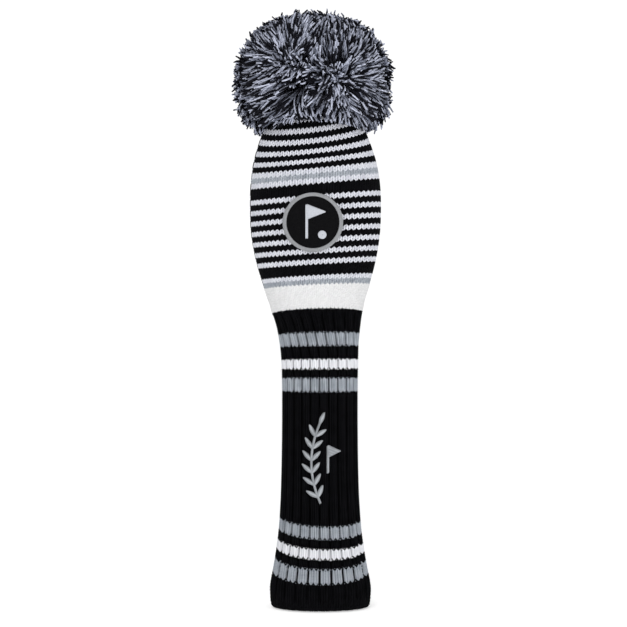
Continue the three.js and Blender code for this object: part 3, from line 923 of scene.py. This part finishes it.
def circle(radius, height, count, upright=False):
    """Points on a circle about the Z axis, or on one that stands on edge across the front."""
    turn = 2 * math.pi * np.linspace(0, 1, count)
    flat = np.stack([radius * np.cos(turn), radius * np.sin(turn), 0 * turn], -1)
    if upright:
        flat = flat[:, (0, 2, 1)]
    return flat + np.array((0, 0, height))


def knot():
    """An overhand knot under the crown, with its cord rising through the anchor disc."""
    t = 2 * math.pi * np.linspace(0, 1, 90)
    bow = np.stack([np.sin(t) + 2 * np.sin(2 * t), np.cos(t) - 2 * np.cos(2 * t), -1.5 * np.sin(3 * t)], -1)
    bow = bow * 0.95 + np.array((0, 0, KNOT_HEIGHT))
    piece = plied("tie_knot_cord", bow, 14, 0.62, 0.55)
    plied("tie_knot_rise", upright_line(*KNOT_RISE, len(t)), 3, 0.72, 0.62)
    return piece


def felt_disc():
    """The anchor disc with rounded edges and a hole for the tie, from a profile of (radius, height)."""
    profile = [
        (2.2, 360.2), (2.4, 359.9), (9.4, 359.8), (10.0, 360.2), (10.2, 360.9), (10.0, 361.5), (9.4, 361.9),
        (2.4, 361.8),
    ]
    levels = [(z, r, r, 0) for r, z in profile]
    return level_shell("crown_anchor_felt", levels, [], FELT, "felt", 64, 21, 0.06)


def gather():
    line = circle(GATHER_RADIUS, GATHER_HEIGHT, 120)
    return plied("crown_gather_yarn", line, 22, 0.42, 0.38)


def tie_stem():
    return plied("tie_stem_cord", upright_line(*STEM_HEIGHTS, 20), 2, 0.7, 0.6, "tie_stem")


def tie_loop():
    line = circle(LOOP_RADIUS, LOOP_HEIGHT, 70, upright=True)
    return plied("tie_loop_cord", line, 8, 0.6, 0.5, "tie_loop")


def binding():
    """Tight turns of cord that hold the pom-pom's strands."""
    t = np.linspace(0, 1, BINDING_TURNS * 28)
    turn = 2 * math.pi * BINDING_TURNS * t
    radius = BINDING_RADIUS + 0.8 * np.cos(2 * math.pi * 2.5 * t)
    height = BINDING_HEIGHT + 1.1 * (2 * t - 1)
    path = np.stack([radius * np.cos(turn), radius * np.sin(turn), height], -1)
    return cord_piece("pom_binding_cord", path[None], 0.55, 6, "pompom")


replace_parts(knot(), "tie_knot")
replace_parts(felt_disc(), "crown_anchor_disc")
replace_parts(gather(), "crown_gather_cord")
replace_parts(tie_stem(), "tie_stem")
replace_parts(tie_loop(), "tie_loop")
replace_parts(binding(), "pom_binding")

# -------------------- patch

PATCH_X, PATCH_Z, PATCH_RADIUS, PATCH_RIM = -0.4, 277.4, 21.1, 2.9
# Distances out from the knit's face: the base's top, and where the raised mouldings start.
BASE_TOP = 1.6
RAISED_FROM = 1.5
# The emblem's pole, pennant and ball, from the patch's middle.
POLE_X, POLE_FOOT, POLE_HEIGHT = -4.2, -11.5, 24
PENNANT_Z, PENNANT_LENGTH = 7.25, 13
BALL_X, BALL_Z = 6.4, -8.8
PATCH_STITCHES = 60


def straight(x, z, dx, dz):
    """A line on the front from (x, z) that goes dx and dz."""
    return lambda t: np.stack([x + dx * t, z + dz * t], -1)


def taper(more, end):
    """A half width that falls to its end by more."""
    return lambda t: more * (1 - t) + end


def strip(line, half, t, s):
    """Places on the front at each t of a grid along a line, and at s (-1 to 1) across it."""
    flat = t.ravel()
    along = unit(line(flat + 0.01) - line(flat - 0.01)).reshape(*t.shape, 2)
    across = np.stack([along[..., 1], -along[..., 0]], -1)
    place = line(flat).reshape(*t.shape, 2) + across * (half(t) * s)[..., None]
    return place[..., 0], place[..., 1]


def pillow(name, line, half, high, columns):
    """A raised silver strip along a line on the patch, with rounded edges and ends."""
    t, s = np.meshgrid(np.linspace(0, 1, 24), np.linspace(-1, 1, columns), indexing="ij")
    s = np.sign(s) * np.abs(s) ** 0.7
    t = 0.5 + 0.5 * np.sign(2 * t - 1) * np.abs(2 * t - 1) ** 0.8
    x, z = strip(line, half, t, s)
    swell = (1 - np.abs(s) ** 8) ** 0.4 * (1 - np.abs(2 * t - 1) ** 16) ** 0.4
    top, _ = on_front(x, z, RAISED_FROM + 0.05 + (high - RAISED_FROM) * swell)
    bottom, _ = on_front(x, z, RAISED_FROM + 0 * swell)
    return dress(closed_grid(name, top, bottom), PATCH_SILVER)


def disc_solid(name, x, z, profile, columns, material):
    """A solid turned about a point on the front, from a closed profile of (radius, distance out)."""
    turn = 2 * math.pi * np.arange(columns) / columns
    r, out = [np.array(column)[:, None] + 0 * turn for column in zip(*profile)]
    points, _ = on_front(x + r * np.cos(turn), z + r * np.sin(turn), out)
    n = np.arange(len(profile) * columns).reshape(len(profile), columns)
    quads = ring_quads(n, np.roll(n, -1, 0))[:, (0, 3, 2, 1)]
    return dress(mesh_object(name, points.reshape(-1, 3), [quads]), material)


def rounded(inner, outer, low, high, count):
    """A flat-topped profile with rounded shoulders, from the inner radius to the outer."""
    s = np.cos(np.linspace(math.pi, 0, count))
    middle, half = (inner + outer) / 2, (outer - inner) / 2
    top = [(middle + half * v, low + (high - low) * (1 - abs(v) ** 4) ** 0.5) for v in s]
    return [(inner, low - 0.5)] + top + [(outer, low - 0.5)]


def patch_base():
    rings = [0.02, 2, 5, 9, 13, 17, 19, 20.6]
    profile = [(r, BASE_TOP) for r in rings] + [(20.9, 1.2), (20.9, 0.3)] + [(r, 0.2) for r in rings[::-1]]
    return disc_solid("patch_base_moulding", PATCH_X, PATCH_Z, profile, 96, PATCH_BLACK)


def patch_rim():
    profile = rounded(PATCH_RADIUS - PATCH_RIM, PATCH_RADIUS - 0.3, RAISED_FROM, 2.7, 13)
    return disc_solid("patch_rim_moulding", PATCH_X, PATCH_Z, profile, 160, PATCH_GREY)


def patch_ball():
    profile = [(r, 2.85 - 0.02 * r * r) for r in (0.2, 1, 2, 2.6)]
    profile += [(2.9, 2.4), (3.0, 1.5), (1.5, 1.45), (0.2, 1.45)]
    x, z = PATCH_X + BALL_X, PATCH_Z + BALL_Z
    return disc_solid("patch_ball_moulding", x, z, profile, 48, PATCH_SILVER)


def patch_flag():
    x = PATCH_X + POLE_X
    pole_line = straight(x, PATCH_Z + POLE_FOOT, 0, POLE_HEIGHT)
    pole = pillow("patch_flag_pole", pole_line, taper(0, 0.95), 2.9, 9)
    pennant_line = straight(x, PATCH_Z + PENNANT_Z, PENNANT_LENGTH, 0)
    pillow("patch_flag_pennant", pennant_line, taper(5.25, 0.35), 2.8, 15)
    return pole


def patch_stitches():
    """Short stitches that stand on the rim, each an arch along it."""
    start = 2 * math.pi * np.arange(PATCH_STITCHES)[:, None] / PATCH_STITCHES
    s = np.linspace(0, 1, 7)[None, :]
    turn = start + 2 * math.pi / PATCH_STITCHES * 0.74 * s
    out = 2.52 + 0.3 * np.sin(math.pi * s) ** 0.6 + 0 * turn
    radius = PATCH_RADIUS - 1.6
    path, normal = on_front(PATCH_X + radius * np.cos(turn), PATCH_Z + radius * np.sin(turn), out)
    return dress(tubes("patch_edge_stitches", path, normal, 0.2, 5, 0.5), PATCH_GREY)


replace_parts(patch_base(), "patch_base")
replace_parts(patch_rim(), "patch_rim")
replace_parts(patch_ball(), "patch_ball")
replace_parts(patch_flag(), "patch_flag")
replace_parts(patch_stitches(), "patch_edge_thread")

# -------------------- embroidery

SATIN_LOW, SATIN_HIGH = 0.25, 1.35
SATIN_SLANT = 0.35
# The sprig's stem: its ends' x, how far it bows to the left, its foot's height and its own height.
SPRIG_X, SPRIG_BOW, SPRIG_FOOT, SPRIG_HEIGHT = 5.2, 6.6, 77, 59
LEAF_PAIRS = 6
LEAF_SPREAD = 0.72
LEAF_LENGTH = 9.2
LEAF_HALF = 1.45


def satin(line, half, count):
    """Satin stitches across a strip in the front's (x, z): paths and outward directions."""
    t = np.linspace(0.01, 0.99, count)[:, None]
    s = np.linspace(-1, 1, 7)[None, :]
    x, z = strip(line, half, np.clip(t + SATIN_SLANT / count * 2 * s, 0, 1), s)
    out = SATIN_LOW + (SATIN_HIGH - SATIN_LOW) * np.sqrt(1 - 0.95 * s * s) + 0 * t
    return on_front(x, z, out)


def stitched(name, strips):
    """One object of satin stitches for some strips of (line, half width, stitches)."""
    path, normal = [np.concatenate(arrays) for arrays in zip(*[satin(*each) for each in strips])]
    return dress(tubes(name, path, normal, 0.25, 5, 0.5), THREAD)


def stem_at(t):
    return np.stack([SPRIG_X - SPRIG_BOW * 4 * t * (1 - t), SPRIG_FOOT + SPRIG_HEIGHT * t], -1)


def leaf_half(t):
    return LEAF_HALF * np.sin(math.pi * np.clip(0.06 + 0.90 * t, 0, 1)) ** 0.8


def leaf(t, turn):
    """A leaf from the stem at t, turned from the stem's own heading."""
    root = stem_at(t)
    heading = math.atan2(*(stem_at(t + 0.01) - root)) + turn
    return straight(*root, LEAF_LENGTH * math.sin(heading), LEAF_LENGTH * math.cos(heading)), leaf_half, 26


def neck_sprig():
    strips = [(stem_at, taper(0, 0.7), 150)]
    for n in range(LEAF_PAIRS):
        strips += [leaf(0.08 + 0.88 * n / LEAF_PAIRS, turn) for turn in (-LEAF_SPREAD, LEAF_SPREAD)]
    strips.append(leaf(0.96, 0))
    return stitched("neck_sprig_satin", strips)


def neck_flag():
    pole = (straight(10.2, 99, 0, 19.5), taper(0, 0.75), 48)
    pennant = (straight(10.8, 114.5, 8, 0), taper(4, 0.3), 22)
    return stitched("neck_flag_satin", [pole, pennant])


def backing():
    """The stiff felt behind the embroidery, thinned at its rounded corners."""
    x, z = np.meshgrid(np.linspace(-8, 18, 27), np.linspace(74, 146, 60))
    past_x, past_z = np.maximum(np.abs(x - 5) - 10, 0), np.maximum(np.abs(z - 110) - 33, 0)
    corner = np.minimum(1, np.hypot(past_x, past_z) / 3)
    top, _ = on_front(x, z, -3.6 - 0.25 * corner**4)
    bottom, _ = on_front(x, z, -4.4 + 0.1 * corner**4)
    return dress(closed_grid("embroidery_backing_felt", top, bottom), FELT)


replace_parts(neck_sprig(), "neck_sprig")
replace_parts(neck_flag(), "neck_flag")
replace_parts(backing(), "embroidery_backing")

# -------------------- stage, light and camera

VIEW_HEIGHT = 212.8
VIEW_DISTANCE = 1400
VIEW_WIDTH = 454.7
FILM_WIDTH = 36
FLOOR_RADIUS = 6000
FLOOR_DROP = 0.05
LIGHT_SIZE = 700
LIGHT_AIM = (0, 0, 200)
# The world's strength: what it adds to the light, and how much brighter the camera itself sees it.
WORLD_LIGHT = 0.6
WORLD_SEEN = 0.45


def floor():
    count = 96
    turn = 2 * math.pi * np.arange(count) / count
    points = oval(FLOOR_RADIUS, FLOOR_RADIUS, 0, -FLOOR_DROP, turn)
    piece = mesh_object("floor", points, [np.arange(count)[None, :]], flat=True)
    mat, _, shader = node_material("pale_floor", (0.94, 0.94, 0.94), 1.0, 0.0)
    shader.inputs["Emission Color"].default_value = (1, 1, 1, 1)
    shader.inputs["Emission Strength"].default_value = 0.45
    piece.data.materials.append(mat)


def world():
    soft = bpy.data.worlds.new("soft_white")
    bpy.context.scene.world = soft
    soft.use_nodes = True
    tree = soft.node_tree
    back = tree.nodes["Background"]
    back.inputs["Color"].default_value = (1, 1, 1, 1)
    seen = node(tree, "LightPath").outputs["Is Camera Ray"]
    strength = math_node(tree, "MULTIPLY_ADD", seen, WORLD_SEEN, WORLD_LIGHT)
    tree.links.new(strength, back.inputs["Strength"])


def soft_light(name, place, power):
    light = bpy.data.lights.new(name, "AREA")
    light.shape = "DISK"
    light.size = LIGHT_SIZE * MM
    light.energy = power
    piece = bpy.data.objects.new(name, light)
    where, to = Vector(place) * MM, Vector(LIGHT_AIM) * MM
    piece.location = where
    piece.rotation_euler = (to - where).to_track_quat("-Z", "Y").to_euler()
    bpy.context.scene.collection.objects.link(piece)


def view():
    lens = bpy.data.cameras.new("camera")
    lens.sensor_width = FILM_WIDTH
    lens.lens = FILM_WIDTH * VIEW_DISTANCE / VIEW_WIDTH
    camera = bpy.data.objects.new("camera", lens)
    camera.location = (0, -VIEW_DISTANCE * MM, VIEW_HEIGHT * MM)
    camera.rotation_euler = (math.pi / 2, 0, 0)
    bpy.context.scene.collection.objects.link(camera)
    bpy.context.scene.camera = camera
    bpy.context.scene.view_settings.view_transform = "Standard"


floor()
world()
soft_light("key", (-300, -1250, 1100), 7)
soft_light("fill", (800, -1200, 150), 5.5)
view()
